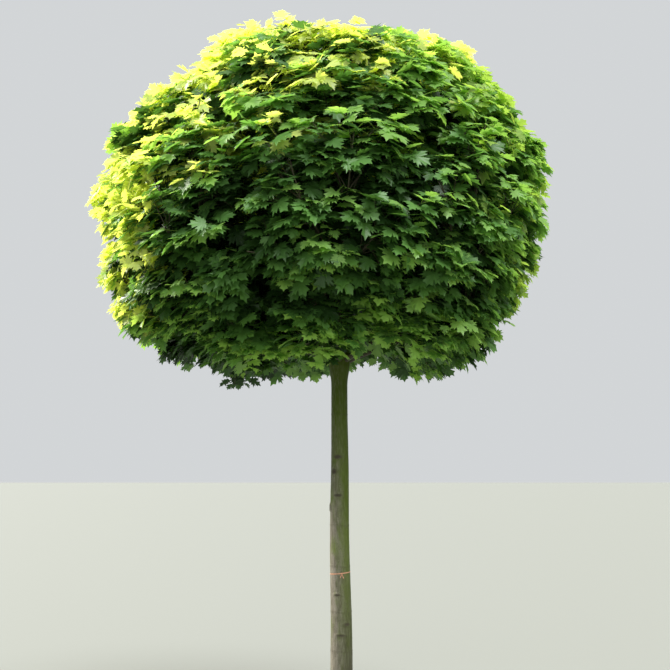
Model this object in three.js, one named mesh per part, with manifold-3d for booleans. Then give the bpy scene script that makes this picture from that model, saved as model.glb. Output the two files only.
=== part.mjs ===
// A top-grafted globe maple: a clean straight trunk with one round, dense crown on its head.
// Millimetres, +Z up. The origin is the centre of the flat cut under the trunk, at ground level.
// The crown is seen from -Y, with +X on the right. Boughs spread from the graft at the trunk's head, and each
// carries one mass of foliage: a stem, twigs that branch from it, a dense core, and leaves that stand out of it.
import * as THREE from "three";
import { mergeVertices } from "three/addons/utils/BufferGeometryUtils.js";
import Module from "manifold-3d";

const wasm = await Module();
wasm.setup();

// The whole tree.
const GRAFT_HEIGHT = 2300;
const TRUNK_LEAN = -0.0058; // sideways run for each unit of height
const HEAD = new THREE.Vector3(TRUNK_LEAN * GRAFT_HEIGHT, 0, GRAFT_HEIGHT);
const CROWN_CENTRE = new THREE.Vector3(-126, 0, 3140);
const CROWN_HALF_WIDTH = 1320;
const CROWN_ABOVE = 1265;
const CROWN_BELOW = 1045;
const ROUND_ABOVE = 1.75; // 2 is an ellipse, and more is squarer
const ROUND_BELOW = 2.3;
const CROWN_DIP = 0.08; // the widest level falls this much towards -X
const BILLOW = 0.05; // how far the outline draws in where two masses meet
const BILLOW_WIDTH = 0.09;

// The masses: rings of axes that spread from the head. A ring with more spread takes more of the space beside it.
const RINGS = [
  { ring: "top", count: 1, elevation: 90, first: 0, inner: 0.6, spread: 1 },
  { ring: "upper", count: 5, elevation: 56, first: 54, inner: 0.58, spread: 1 },
  { ring: "lower", count: 8, elevation: 18, first: 0, inner: 0.4, spread: 1.05 },
];
const MASS_GAP = 14; // between the spaces of two masses
const JOINT_GAP = 0.3; // between a limb and what it carries

// Trunk: height and radius, with the swelling of the graft at the head.
const TRUNK_PROFILE = [
  [0, 84],
  [70, 74],
  [220, 66.5],
  [600, 62.5],
  [1080, 57.5],
  [1600, 52.5],
  [2070, 48],
  [2180, 49],
  [2260, 60],
  [2325, 61],
  [2385, 47],
  [2445, 34],
];
const TRUNK_SIDES = 18;
const TRUNK_RINGS = 18;
const ROOT_LOBES = 5;
const ROOT_LOBE_DEPTH = 9;
const ROOT_LOBE_HEIGHT = 110;
const ROOT_LOBE_TURN = 0.6;

// Boughs, by ring.
const BOUGH_FOOT = { top: 24, upper: 21, lower: 19 };
const BOUGH_START = { top: 2420, upper: 2328, lower: 2275 };
const BOUGH_TIP = 12.5;
const BOUGH_SIDES = 8;
const BOUGH_STEPS = 4;
const BOUGH_LIFT = 0.16; // how much steeper a bough starts than it ends

// Foliage.
const CORE_DETAIL = { top: 2, upper: 2, lower: 1 };
const CORE_DEPTH = 150; // from the outline to the core
const CORE_SIDE = 48; // from the core to the edge of its space
const SPRAYS = 122; // over the whole crown
const FIRST_SEED = 6;
const SPRAY_DEPTH = 45; // from the outline to the tip of a twig
const SPRAY_SWAY = 0.55;
const PAIR_BACK = 50; // from a twig's tip to the pair of leaves behind it
const PAIR_TURN = 1.2;
const TWIG_SIDES = 3;
const TWIG_RADIUS = 8;
const TIP_STEP = 20; // a tip that would leave its space is drawn back by this
const TIP_TRIES = 12;
const LEAF_LENGTH = 250;
const LEAF_THICKNESS = 0.035; // of its length
const LEAF_DROOP = 0.22;
const LEAF_SINK = 3; // past the middle of its twig
const TIP_SINK = 12; // from a twig's tip back to the root of its last leaf
const LEAF_SIZES = [1, 0.86, 0.72]; // tried in turn, where a leaf would leave its space
const LEAF_TURNS = [0, 0.45, -0.45, 0.9, -0.9];
const BARE_RADIUS = 240; // no foliage under the crown this near the trunk
const BARE_HEIGHT = 2620;

// A maple leaf's outline, as degrees from its tip and reach from the middle of the blade. Half of it is given.
const FIVE_LOBES = [[0, 0.58], [29, 0.25], [58, 0.56], [88, 0.29], [122, 0.44], [180, 0.46]];
const THREE_LOBES = [[0, 0.58], [42, 0.24], [88, 0.52], [180, 0.46]];
const BLADE_MIDDLE = 0.46; // of the length, from the root

// Marker ribbon tied round the trunk.
const RIBBON_HEIGHT = 1078;
const RIBBON_WIDTH = 7;
const RIBBON_THICKNESS = 1.2;
const RIBBON_CLEARANCE = 0.9;
const RIBBON_TILT = 0.09;
const RIBBON_FACETS = 36;
const KNOT_RADIUS = 5.5;
const KNOT_ASIDE = 8;
const TAIL_LENGTH = 26;
const TAIL_LEANS = [0.5, -0.35];

const FAR = 3000; // beyond the crown from any point in it
const LIMB_FINENESS = 0.05;
const FOLIAGE_FINENESS = 1.2;
const UP = new THREE.Vector3(0, 0, 1);

// A repeatable stream of numbers from 0 to 1.
function seeded(seed) {
  let state = seed >>> 0;
  return () => {
    state = (state + 0x6d2b79f5) >>> 0;
    let mixed = Math.imul(state ^ (state >>> 15), state | 1);
    mixed ^= mixed + Math.imul(mixed ^ (mixed >>> 7), mixed | 61);
    return ((mixed ^ (mixed >>> 14)) >>> 0) / 2 ** 32;
  };
}

// A closed geometry as a solid that can be joined and cut.
function solidOf(geometry) {
  const bare = geometry.clone();
  bare.deleteAttribute("normal");
  bare.deleteAttribute("uv");
  const merged = mergeVertices(bare, 1e-3);
  return new wasm.Manifold(
    new wasm.Mesh({
      numProp: 3,
      vertProperties: merged.attributes.position.array,
      triVerts: new Uint32Array(merged.index.array),
    }),
  );
}

// A solid back as a geometry, without loose scraps, and with detail under the fineness closed up in two steps.
function geometryOf(solid, fineness) {
  const eased = solid.asOriginal().simplify(fineness / 4).asOriginal().simplify(fineness);
  const pieces = eased.decompose();
  const whole = pieces.reduce((a, b) => (b.volume() > a.volume() ? b : a));
  const mesh = whole.getMesh();
  const geometry = new THREE.BufferGeometry();
  geometry.setAttribute("position", new THREE.BufferAttribute(new Float32Array(mesh.vertProperties), 3));
  geometry.setIndex(new THREE.BufferAttribute(new Uint32Array(mesh.triVerts), 1));
  geometry.computeVertexNormals();
  return geometry;
}

// Moves each vertex of a geometry to where place() puts it.
function reshape(geometry, place) {
  const position = geometry.attributes.position;
  const vertex = new THREE.Vector3();
  for (let i = 0; i < position.count; i++) {
    vertex.fromBufferAttribute(position, i);
    const moved = place(vertex);
    position.setXYZ(i, moved.x, moved.y, moved.z);
  }
  return geometry;
}

// The masses, each with its axis as a unit vector from the head.
function spreadMasses() {
  const masses = [];
  for (const { ring, count, elevation, first, inner, spread } of RINGS) {
    const rise = THREE.MathUtils.degToRad(elevation);
    for (let i = 0; i < count; i++) {
      const name = count > 1 ? `${ring}_${i + 1}` : ring;
      const turn = THREE.MathUtils.degToRad(first + (360 * i) / count);
      const flat = Math.cos(rise);
      const axis = new THREE.Vector3(Math.cos(turn) * flat, Math.sin(turn) * flat, Math.sin(rise));
      masses.push({ ring, name, turn, inner, axis, pull: axis.clone().multiplyScalar(spread) });
    }
  }
  return masses;
}
const MASSES = spreadMasses();

// Under 1 inside the crown's outline, and over 1 outside it.
function outlineShare(point) {
  const from = point.clone().sub(CROWN_CENTRE);
  from.z -= CROWN_DIP * from.x;
  const across = Math.hypot(from.x, from.y) / CROWN_HALF_WIDTH;
  const along = Math.abs(from.z) / (from.z > 0 ? CROWN_ABOVE : CROWN_BELOW);
  const round = from.z > 0 ? ROUND_ABOVE : ROUND_BELOW;
  const share = (across ** round + along ** round) ** (1 / round);
  const way = point.clone().sub(HEAD).normalize();
  const pulls = MASSES.map((mass) => way.dot(mass.pull)).sort((a, b) => b - a);
  const apart = Math.min(1, (pulls[0] - pulls[1]) / BILLOW_WIDTH);
  return share / (1 - BILLOW * (1 - apart) ** 2);
}

// The furthest distance from start, along way, at which a test still holds.
function furthest(start, way, holds) {
  const halvings = 22;
  let low = 0;
  let high = FAR;
  for (let i = 0; i < halvings; i++) {
    const distance = (low + high) / 2;
    if (holds(start.clone().addScaledVector(way, distance))) low = distance;
    else high = distance;
  }
  return low;
}

// The crown's outward direction at a point of its outline.
function outwardAt(point) {
  const step = 5;
  const slope = (axis) => {
    const ahead = point.clone().addScaledVector(axis, step);
    const behind = point.clone().addScaledVector(axis, -step);
    return outlineShare(ahead) - outlineShare(behind);
  };
  const [x, y, z] = [new THREE.Vector3(1, 0, 0), new THREE.Vector3(0, 1, 0), UP].map(slope);
  return new THREE.Vector3(x, y, z).normalize();
}

// Whether a point lies in the space of one mass, with room to spare at its sides and under the outline.
function inSpace(point, mass, side = 0, depth = 0) {
  const from = point.clone().sub(HEAD);
  if (from.length() < mass.innerReach + side) return false;
  for (const other of MASSES) {
    if (other === mass) continue;
    const across = mass.pull.clone().sub(other.pull);
    if (from.dot(across) / across.length() < MASS_GAP / 2 + side) return false;
  }
  return outlineShare(point) < 1 - depth / CROWN_HALF_WIDTH;
}

// Each mass begins at its foot on the axis, and its stem ends in its middle.
for (const mass of MASSES) {
  const outer = furthest(HEAD, mass.axis, (point) => outlineShare(point) < 1);
  mass.innerReach = outer * mass.inner;
  mass.foot = HEAD.clone().addScaledVector(mass.axis, mass.innerReach);
  mass.middle = HEAD.clone().addScaledVector(mass.axis, (outer + mass.innerReach) / 2);
}

// Trunk: one straight tapering stem that leans a little, with root flare and the swollen graft at its head.
function trunkGeometry(grown = 0) {
  const profile = new THREE.SplineCurve(TRUNK_PROFILE.map(([z, r]) => new THREE.Vector2(r + grown, z)));
  const points = profile.getPoints(TRUNK_RINGS).map((p) => new THREE.Vector2(p.x, Math.max(p.y, 0)));
  const top = TRUNK_PROFILE.at(-1)[0] + grown;
  points[TRUNK_RINGS].y = top;
  const closed = [new THREE.Vector2(0, 0), ...points, new THREE.Vector2(0, top)];
  const turned = new THREE.LatheGeometry(closed, TRUNK_SIDES).rotateX(Math.PI / 2);
  return reshape(turned, (v) => {
    const angle = Math.atan2(v.y, v.x);
    const radius = Math.hypot(v.x, v.y);
    const fade = radius > 1 ? Math.exp(-v.z / ROOT_LOBE_HEIGHT) : 0;
    const flared = radius + ROOT_LOBE_DEPTH * fade * Math.cos(ROOT_LOBES * angle + ROOT_LOBE_TURN);
    return new THREE.Vector3(Math.cos(angle) * flared + TRUNK_LEAN * v.z, Math.sin(angle) * flared, v.z);
  });
}

// A limb of round section along a curve that lies in one upright plane, turned to face that plane.
function limbGeometry(curve, turn, sides, steps, radiusAt) {
  const side = new THREE.Vector3(-Math.sin(turn), Math.cos(turn), 0);
  return reshape(new THREE.CylinderGeometry(1, 1, 1, sides, steps), (v) => {
    const t = v.y + 0.5;
    const inward = new THREE.Vector3().crossVectors(side, curve.getTangent(t)).normalize();
    return curve
      .getPoint(t)
      .addScaledVector(side, v.x * radiusAt(t))
      .addScaledVector(inward, v.z * radiusAt(t));
  });
}

// Bough: one tapering limb from inside the trunk's head to where its mass begins, cut clear of the trunk.
function boughGeometry(mass, trunkRoom) {
  const height = BOUGH_START[mass.ring];
  const start = new THREE.Vector3(TRUNK_LEAN * height, 0, height);
  const tip = mass.foot.clone().addScaledVector(mass.axis, -JOINT_GAP);
  const reach = tip.distanceTo(start);
  const lead = mass.axis.clone().addScaledVector(UP, BOUGH_LIFT).normalize();
  const curve = new THREE.CubicBezierCurve3(
    start,
    start.clone().addScaledVector(lead, reach * 0.35),
    tip.clone().addScaledVector(mass.axis, -reach * 0.3),
    tip,
  );
  const thick = BOUGH_FOOT[mass.ring];
  const radiusAt = (t) => thick + (BOUGH_TIP - thick) * t ** 0.8;
  const limb = limbGeometry(curve, mass.turn, BOUGH_SIDES, BOUGH_STEPS, radiusAt);
  return geometryOf(solidOf(limb).subtract(trunkRoom), LIMB_FINENESS);
}

// Leaf: a thin closed blade of a few faces, with its lobes round the middle of the blade and its edge drooping.
function leafGeometry(root, heading, face, length, half) {
  const ring = [...half, ...half.slice(1, -1).reverse().map(([degrees, reach]) => [-degrees, reach])];
  const aside = new THREE.Vector3().crossVectors(heading, face);
  const middle = root.clone().addScaledVector(heading, BLADE_MIDDLE * length - LEAF_SINK);
  return reshape(new THREE.SphereGeometry(1, ring.length, 2), (v) => {
    const pole = Math.round(v.y);
    if (pole !== 0) return middle.clone().addScaledVector(face, (pole * LEAF_THICKNESS * length) / 2);
    const place = Math.round((Math.atan2(v.z, v.x) / (2 * Math.PI)) * ring.length);
    const [degrees, reach] = ring[(place + ring.length) % ring.length];
    const angle = THREE.MathUtils.degToRad(degrees);
    const droop = degrees === 180 ? 0 : LEAF_DROOP * reach ** 2;
    return middle
      .clone()
      .addScaledVector(heading, Math.cos(angle) * reach * length)
      .addScaledVector(aside, Math.sin(angle) * reach * length)
      .addScaledVector(face, -droop * length);
  });
}

// A leaf that keeps to its mass's space, in the first size and heading that fits, or null.
function fittedLeaf(mass, root, heading, face, half) {
  const corner = new THREE.Vector3();
  for (const size of LEAF_SIZES) {
    for (const turn of LEAF_TURNS) {
      const turned = heading.clone().applyAxisAngle(face, turn);
      const leaf = leafGeometry(root, turned, face, LEAF_LENGTH * size, half);
      const position = leaf.attributes.position;
      let fits = true;
      for (let i = 0; i < position.count && fits; i++) {
        fits = inSpace(corner.fromBufferAttribute(position, i), mass);
      }
      if (fits) return solidOf(leaf);
    }
  }
  return null;
}

// Where the twigs of the whole crown end: points spread evenly over its outline, dealt to the nearest mass.
function sprayPlaces() {
  const golden = Math.PI * (3 - Math.sqrt(5));
  const dealt = new Map(MASSES.map((mass) => [mass, []]));
  for (let i = 0; i < SPRAYS; i++) {
    const z = 1 - (2 * i + 1) / SPRAYS;
    const flat = Math.sqrt(1 - z * z);
    const way = new THREE.Vector3(Math.cos(golden * i) * flat, Math.sin(golden * i) * flat, z);
    const far = furthest(CROWN_CENTRE, way, (point) => outlineShare(point) < 1);
    const place = CROWN_CENTRE.clone().addScaledVector(way, far);
    if (place.z < BARE_HEIGHT && Math.hypot(place.x, place.y) < BARE_RADIUS) continue;
    const from = place.clone().sub(HEAD);
    dealt.get(MASSES.reduce((a, b) => (from.dot(b.pull) > from.dot(a.pull) ? b : a))).push(place);
  }
  return dealt;
}

// Spray: a twig from the mass's stem with a leaf at its tip and a pair behind it, shingled outwards and down.
function spraySolids(mass, place, random) {
  const sway = () => (random() - 0.5) * SPRAY_SWAY;
  const swayed = () => new THREE.Vector3(sway(), sway(), sway());
  const outward = outwardAt(place);
  const face = outward.clone().addScaledVector(UP, 0.6).add(swayed()).normalize();
  const hang = new THREE.Vector3(outward.x, outward.y, -0.75).add(swayed());
  const heading = hang.addScaledVector(face, -hang.dot(face)).normalize();
  const home = mass.middle.clone().sub(place).normalize();
  const tip = place.clone().addScaledVector(outward, -SPRAY_DEPTH * (0.8 + 0.5 * random()));
  let end = null;
  for (let i = 0; i < TIP_TRIES && !end; i++) {
    const root = tip.clone().addScaledVector(home, TIP_SINK);
    if (inSpace(tip, mass, TWIG_RADIUS * 2)) end = fittedLeaf(mass, root, heading, face, FIVE_LOBES);
    if (!end) tip.addScaledVector(home, TIP_STEP);
  }
  if (!end) return [];
  const along = tip.clone().sub(mass.middle).normalize();
  const node = tip.clone().addScaledVector(along, -PAIR_BACK);
  const run = new THREE.LineCurve3(mass.middle, tip);
  const twig = limbGeometry(run, Math.atan2(along.y, along.x), TWIG_SIDES, 1, () => TWIG_RADIUS);
  const pair = [PAIR_TURN, -PAIR_TURN].map((turn) => {
    const aside = heading.clone().applyAxisAngle(face, turn + sway());
    return fittedLeaf(mass, node, aside, face, THREE_LOBES);
  });
  return [solidOf(twig), end, ...pair.filter((leaf) => leaf)];
}

// Core: the closed, leafy inside of a mass, which stays well inside its space.
function coreSolid(mass) {
  return solidOf(
    reshape(new THREE.IcosahedronGeometry(1, CORE_DETAIL[mass.ring]), (v) => {
      const way = v.clone().normalize();
      const reach = furthest(mass.middle, way, (point) => inSpace(point, mass, CORE_SIDE, CORE_DEPTH));
      return mass.middle.clone().addScaledVector(way, reach);
    }),
  );
}

// Mass of foliage: its stem, core, twigs and leaves in one piece.
function massGeometry(mass, places, seed) {
  const random = seeded(seed);
  const run = new THREE.LineCurve3(mass.foot, mass.middle);
  const stem = limbGeometry(run, mass.turn, BOUGH_SIDES, 1, () => BOUGH_TIP);
  const solids = [coreSolid(mass), solidOf(stem)];
  for (const place of places) solids.push(...spraySolids(mass, place, random));
  return geometryOf(wasm.Manifold.union(solids), FOLIAGE_FINENESS);
}

// Ribbon: a thin band tied round the trunk, with its knot and two short tails in front.
function ribbonGeometry() {
  const [, girth] = TRUNK_PROFILE.find(([z]) => z >= RIBBON_HEIGHT);
  const inner = girth + RIBBON_CLEARANCE;
  const outer = inner + RIBBON_THICKNESS;
  const half = RIBBON_WIDTH / 2;
  const section = [[inner, -half], [outer, -half], [outer, half], [inner, half], [inner, -half]];
  const profile = section.map(([x, y]) => new THREE.Vector2(x, y));
  const band = new THREE.LatheGeometry(profile, RIBBON_FACETS).rotateX(Math.PI / 2).rotateY(-RIBBON_TILT);
  const knotPlace = [KNOT_ASIDE, -outer - KNOT_RADIUS * 0.45, 0];
  const knot = new THREE.SphereGeometry(KNOT_RADIUS, 8, 6).scale(1.2, 0.7, 1).translate(...knotPlace);
  const solids = [solidOf(band), solidOf(knot)];
  for (const lean of TAIL_LEANS) {
    const tail = new THREE.BoxGeometry(RIBBON_WIDTH * 0.8, RIBBON_THICKNESS, TAIL_LENGTH);
    tail.translate(0, 0, -TAIL_LENGTH / 2).rotateY(lean).translate(...knotPlace);
    solids.push(solidOf(tail));
  }
  return geometryOf(wasm.Manifold.union(solids), LIMB_FINENESS);
}

// A named part of the tree in its own plain finish.
function part(name, geometry, color, roughness) {
  const mesh = new THREE.Mesh(geometry, new THREE.MeshStandardMaterial({ color, roughness, metalness: 0 }));
  mesh.name = name;
  return mesh;
}

const BARK = 0x6d6a58;
const YOUNG_BARK = 0x4c4634;
const RIBBON_ORANGE = 0xd9622b;
const GREENS = { top: 0x9db635, upper: 0x6f9a2c, lower: 0x3f6b22 };

const tree = new THREE.Group();
tree.add(part("trunk", trunkGeometry(), BARK, 0.9));

const ribbon = part("ribbon", ribbonGeometry(), RIBBON_ORANGE, 0.5);
ribbon.position.set(TRUNK_LEAN * RIBBON_HEIGHT, 0, RIBBON_HEIGHT);
tree.add(ribbon);

const trunkRoom = solidOf(trunkGeometry(JOINT_GAP));
const places = sprayPlaces();
MASSES.forEach((mass, i) => {
  tree.add(part(`bough_${mass.name}`, boughGeometry(mass, trunkRoom), YOUNG_BARK, 0.9));
  const foliage = massGeometry(mass, places.get(mass), FIRST_SEED + i);
  tree.add(part(`foliage_${mass.name}`, foliage, GREENS[mass.ring], 0.6));
});

export default tree;
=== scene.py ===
import math

import bpy
import numpy as np
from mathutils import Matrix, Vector
from mathutils import noise as smooth_noise


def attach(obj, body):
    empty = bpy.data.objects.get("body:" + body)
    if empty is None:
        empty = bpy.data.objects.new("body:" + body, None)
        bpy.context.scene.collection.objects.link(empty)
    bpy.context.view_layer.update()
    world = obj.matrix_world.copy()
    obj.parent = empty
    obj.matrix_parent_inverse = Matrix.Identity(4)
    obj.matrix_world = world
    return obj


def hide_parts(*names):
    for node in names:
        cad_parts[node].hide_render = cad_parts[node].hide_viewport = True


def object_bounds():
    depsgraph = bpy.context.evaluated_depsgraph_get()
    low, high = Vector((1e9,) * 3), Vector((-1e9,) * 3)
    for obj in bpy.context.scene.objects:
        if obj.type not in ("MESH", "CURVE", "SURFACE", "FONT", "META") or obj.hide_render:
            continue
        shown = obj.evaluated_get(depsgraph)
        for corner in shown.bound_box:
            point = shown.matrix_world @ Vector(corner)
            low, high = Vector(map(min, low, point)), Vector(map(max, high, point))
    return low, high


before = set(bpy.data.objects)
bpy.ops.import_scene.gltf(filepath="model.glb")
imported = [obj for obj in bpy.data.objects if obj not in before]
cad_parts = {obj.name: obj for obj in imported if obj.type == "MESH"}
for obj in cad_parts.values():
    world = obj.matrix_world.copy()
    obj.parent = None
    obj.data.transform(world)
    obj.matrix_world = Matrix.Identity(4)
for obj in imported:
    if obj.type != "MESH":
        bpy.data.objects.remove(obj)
cad_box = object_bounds()
scene = bpy.context.scene


# The view: at eye height, some five metres in front of the trunk, looking slightly up into the crown.
# A real lens would be about 48 mm on a full frame.
EYE = (-0.038, -5.3, 1.6)
LEVEL = 90  # degrees from looking straight down to looking level
LOOK_UP = 9.15
LENS = 48.4
SENSOR_WIDTH = 36

bpy.ops.object.select_all(action="DESELECT")
bpy.ops.object.camera_add(location=EYE, rotation=(math.radians(LEVEL + LOOK_UP), 0, 0))
camera = bpy.context.object
camera.data.lens = LENS
camera.data.sensor_width = SENSOR_WIDTH
scene.camera = camera


# The setting: a plain pale floor that runs to the horizon, under a plain pale sky. A warm key stands high at
# the left behind the tree, a soft light high over its front, and a weak broad fill in front of it.
FLOOR_SIZE = 1200
FLOOR_COLOUR = (0.15, 0.156, 0.144, 1)
FLOOR_ROUGHNESS = 0.9
SKY_COLOUR = (0.95, 0.98, 1.0, 1)
SKY_STRENGTH = 0.68
LIGHT_DISTANCE = 12
# Each light's way towards the tree, its strength, how soft it is in degrees, and its colour.
LIGHTS = (
    ("key", (0.70, -0.26, -0.66), 8.0, 12, (1.0, 0.97, 0.86)),
    ("top", (-0.28, 0.40, -0.87), 4.8, 30, (0.98, 1.0, 1.0)),
    ("fill", (-0.15, 0.87, -0.46), 1.30, 70, (0.97, 1.0, 0.94)),
)

floor_paint = bpy.data.materials.new("pale_floor")
floor_paint.use_nodes = True
shader = floor_paint.node_tree.nodes["Principled BSDF"]
shader.inputs["Base Color"].default_value = FLOOR_COLOUR
shader.inputs["Roughness"].default_value = FLOOR_ROUGHNESS

bpy.ops.object.select_all(action="DESELECT")
bpy.ops.mesh.primitive_plane_add(size=FLOOR_SIZE)
floor = bpy.context.object
floor.name = "floor"
floor.data.materials.append(floor_paint)

world = bpy.data.worlds.new("pale_sky")
world.use_nodes = True
sky = world.node_tree.nodes["Background"]
sky.inputs["Color"].default_value = SKY_COLOUR
sky.inputs["Strength"].default_value = SKY_STRENGTH
scene.world = world

for name, way, energy, softness, colour in LIGHTS:
    bpy.ops.object.light_add(type="SUN", location=Vector(way) * -LIGHT_DISTANCE)
    light = bpy.context.object
    light.name = name
    light.data.energy = energy
    light.data.angle = math.radians(softness)
    light.data.color = colour
    light.rotation_euler = Vector(way).to_track_quat("-Z", "Y").to_euler()
scene.view_settings.view_transform = "Standard"


# Trunk: one straight stem that leans a little, with a flared foot, a flat cut at the ground and a swollen
# graft at its head. The bark is grey-brown and streaked along the grain, with pruning scars that have healed.
TRUNK_HEIGHT = 2.445
TRUNK_LEAN = -0.0058  # sideways run for each unit of height
TRUNK_PROFILE = (
    (0.0, 0.084), (0.07, 0.074), (0.22, 0.0665), (0.6, 0.0625), (1.08, 0.0575), (1.6, 0.0525),
    (2.07, 0.048), (2.18, 0.049), (2.26, 0.060), (2.325, 0.061), (2.385, 0.047), (2.445, 0.034),
)
TRUNK_SIDES = 96
TRUNK_CUTS = (20, 22)
SAME_HEIGHT = 1e-5  # points closer than this in height are on one ring
TRUNK_SMOOTH = 50  # degrees between faces up to which the surface is shaded smooth
ROOT_LOBES = 5
ROOT_LOBE_DEPTH = 0.009
ROOT_LOBE_HEIGHT = 0.11
ROOT_LOBE_TURN = 0.6
FRONT = -math.pi / 2
# Healed scars: height, turn from the front to the right, half width, half height and how far they stand out.
SCARS = (
    (1.733, -0.26, 0.027, 0.014, 0.0030),
    (1.650, -0.68, 0.019, 0.018, 0.0028),
    (1.514, -0.20, 0.027, 0.009, 0.0026),
    (1.446, -1.35, 0.018, 0.018, 0.0045),
    (0.960, -0.35, 0.024, 0.007, 0.0018),
    (0.800, 0.55, 0.020, 0.010, 0.0026),
    (0.741, -0.05, 0.028, 0.008, 0.0022),
    (1.150, 2.30, 0.014, 0.010, 0.0030),
    (0.420, -2.50, 0.016, 0.012, 0.0035),
    (1.900, 2.90, 0.012, 0.009, 0.0028),
)
SCAR_RIM = 0.45  # width of a scar's raised rim, as a share of its half size
SCAR_MIDDLE = 0.3  # how far its middle stands out for each unit of the rim
SCAR_SPREAD = 0.9  # how far its dark colour reaches, as a share of its half size
RING_SCARS = (0.654, 0.866, 1.115, 1.345, 1.980)  # heights of the fine rings where a year's growth stopped
RING_WIDTH = 0.004
RING_STAND = 0.0012
RING_WAVE = 0.003  # how far a ring rises and falls round the stem
RING_DARKNESS = 0.22
RELIEF = ((0.010, 0.10, 0.0016), (0.004, 0.035, 0.0008))  # across, along and depth of the bark's ridges
RELIEF_PLACE = (0.37, 0.53, 0.71)  # what a new seed moves the ridges by, so that no two pieces are alike
SWAY = ((0.0028, 3.1, 0.4), (0.0018, 7.3, 1.9))  # how far, how often and where the stem wanders
SWAY_FROM = 0.4  # height over which the wandering starts


def spline(height, points):
    """Smooth curve through (height, value) points."""
    known = np.array(points)
    slopes = np.gradient(known[:, 1], known[:, 0])
    i = np.clip(np.searchsorted(known[:, 0], height) - 1, 0, len(known) - 2)
    gap = known[i + 1, 0] - known[i, 0]
    t = np.clip((height - known[i, 0]) / gap, 0, 1)
    rise = known[i + 1, 1] - known[i, 1]
    ease = t * t * (3 - 2 * t)
    lead = slopes[i] * gap * (t * (1 - t) ** 2)
    land = slopes[i + 1] * gap * (t * t * (t - 1))
    return known[i, 1] + rise * ease + lead + land


def mesh_points(piece):
    """A piece's points as an array with one row for each."""
    points = np.empty(len(piece.data.vertices) * 3)
    piece.data.vertices.foreach_get("co", points)
    return points.reshape(-1, 3)


def rough_bark(piece, across, along, depth, seed):
    """Ridges that run along the grain, pressed into the piece's mesh."""
    bpy.ops.object.select_all(action="DESELECT")
    bpy.ops.object.empty_add(location=[seed * shift for shift in RELIEF_PLACE])
    grain = bpy.context.object
    grain.scale = (across, across, along)
    bpy.context.view_layer.update()
    clouds = bpy.data.textures.new("bark_ridges", type="CLOUDS")
    clouds.noise_scale = 1.0
    clouds.noise_depth = 2
    bpy.context.view_layer.objects.active = piece
    ridges = piece.modifiers.new("ridges", "DISPLACE")
    ridges.texture = clouds
    ridges.texture_coords = "OBJECT"
    ridges.texture_coords_object = grain
    ridges.strength = depth
    ridges.mid_level = 0.5
    bpy.ops.object.modifier_apply(modifier=ridges.name)
    bpy.data.objects.remove(grain)


bpy.ops.object.select_all(action="DESELECT")
bpy.ops.mesh.primitive_cylinder_add(
    vertices=TRUNK_SIDES, radius=1, depth=TRUNK_HEIGHT, location=(0, 0, TRUNK_HEIGHT / 2)
)
trunk = bpy.context.object
trunk.name = "trunk_bark"
bpy.ops.object.transform_apply(location=True, rotation=True, scale=True)
bpy.ops.object.mode_set(mode="EDIT")
bpy.ops.mesh.select_mode(type="EDGE")
for cuts in TRUNK_CUTS:
    bpy.ops.mesh.select_all(action="DESELECT")
    bpy.ops.object.mode_set(mode="OBJECT")
    for edge in trunk.data.edges:
        low, high = (trunk.data.vertices[i].co for i in edge.vertices)
        edge.select = abs(low.z - high.z) > SAME_HEIGHT
    bpy.ops.object.mode_set(mode="EDIT")
    bpy.ops.mesh.subdivide(number_cuts=cuts)
bpy.ops.object.mode_set(mode="OBJECT")

points = mesh_points(trunk)
turn = np.arctan2(points[:, 1], points[:, 0])
height = points[:, 2]
girth = spline(height, TRUNK_PROFILE)
girth += ROOT_LOBE_DEPTH * np.exp(-height / ROOT_LOBE_HEIGHT) * np.cos(ROOT_LOBES * turn + ROOT_LOBE_TURN)
scar_mark = np.zeros(len(points))
for scar_height, scar_turn, half_width, half_height, stand in SCARS:
    aside = (turn - FRONT - scar_turn + math.pi) % (2 * math.pi) - math.pi
    apart = np.hypot(aside * girth / half_width, (height - scar_height) / half_height)
    girth += stand * (np.exp(-((apart - 1) / SCAR_RIM) ** 2) + SCAR_MIDDLE * np.exp(-apart**2))
    scar_mark = np.maximum(scar_mark, np.exp(-(apart / SCAR_SPREAD) ** 4))
for ring_height in RING_SCARS:
    near = np.exp(-(((height - ring_height - RING_WAVE * np.sin(turn * 2)) / RING_WIDTH) ** 2))
    girth += RING_STAND * near
    scar_mark = np.maximum(scar_mark, RING_DARKNESS * near)
started = np.minimum(height / SWAY_FROM, 1)
wander = sum(far * np.sin(often * height + start) * started for far, often, start in SWAY)
points[:, 0] = np.cos(turn) * girth + TRUNK_LEAN * height + wander
points[:, 1] = np.sin(turn) * girth
trunk.data.vertices.foreach_set("co", points.ravel())
trunk.data.attributes.new("scar", "FLOAT", "POINT").data.foreach_set("value", scar_mark)
trunk.data.update()
for seed, (across, along, depth) in enumerate(RELIEF):
    rough_bark(trunk, across, along, depth, seed + 1)
points = mesh_points(trunk)
points[:, 2] = np.clip(points[:, 2], 0, TRUNK_HEIGHT)
points[height < SAME_HEIGHT, 2] = 0
trunk.data.vertices.foreach_set("co", points.ravel())
bpy.ops.object.select_all(action="DESELECT")
trunk.select_set(True)
bpy.context.view_layer.objects.active = trunk
bpy.ops.object.shade_smooth_by_angle(angle=math.radians(TRUNK_SMOOTH))


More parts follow.
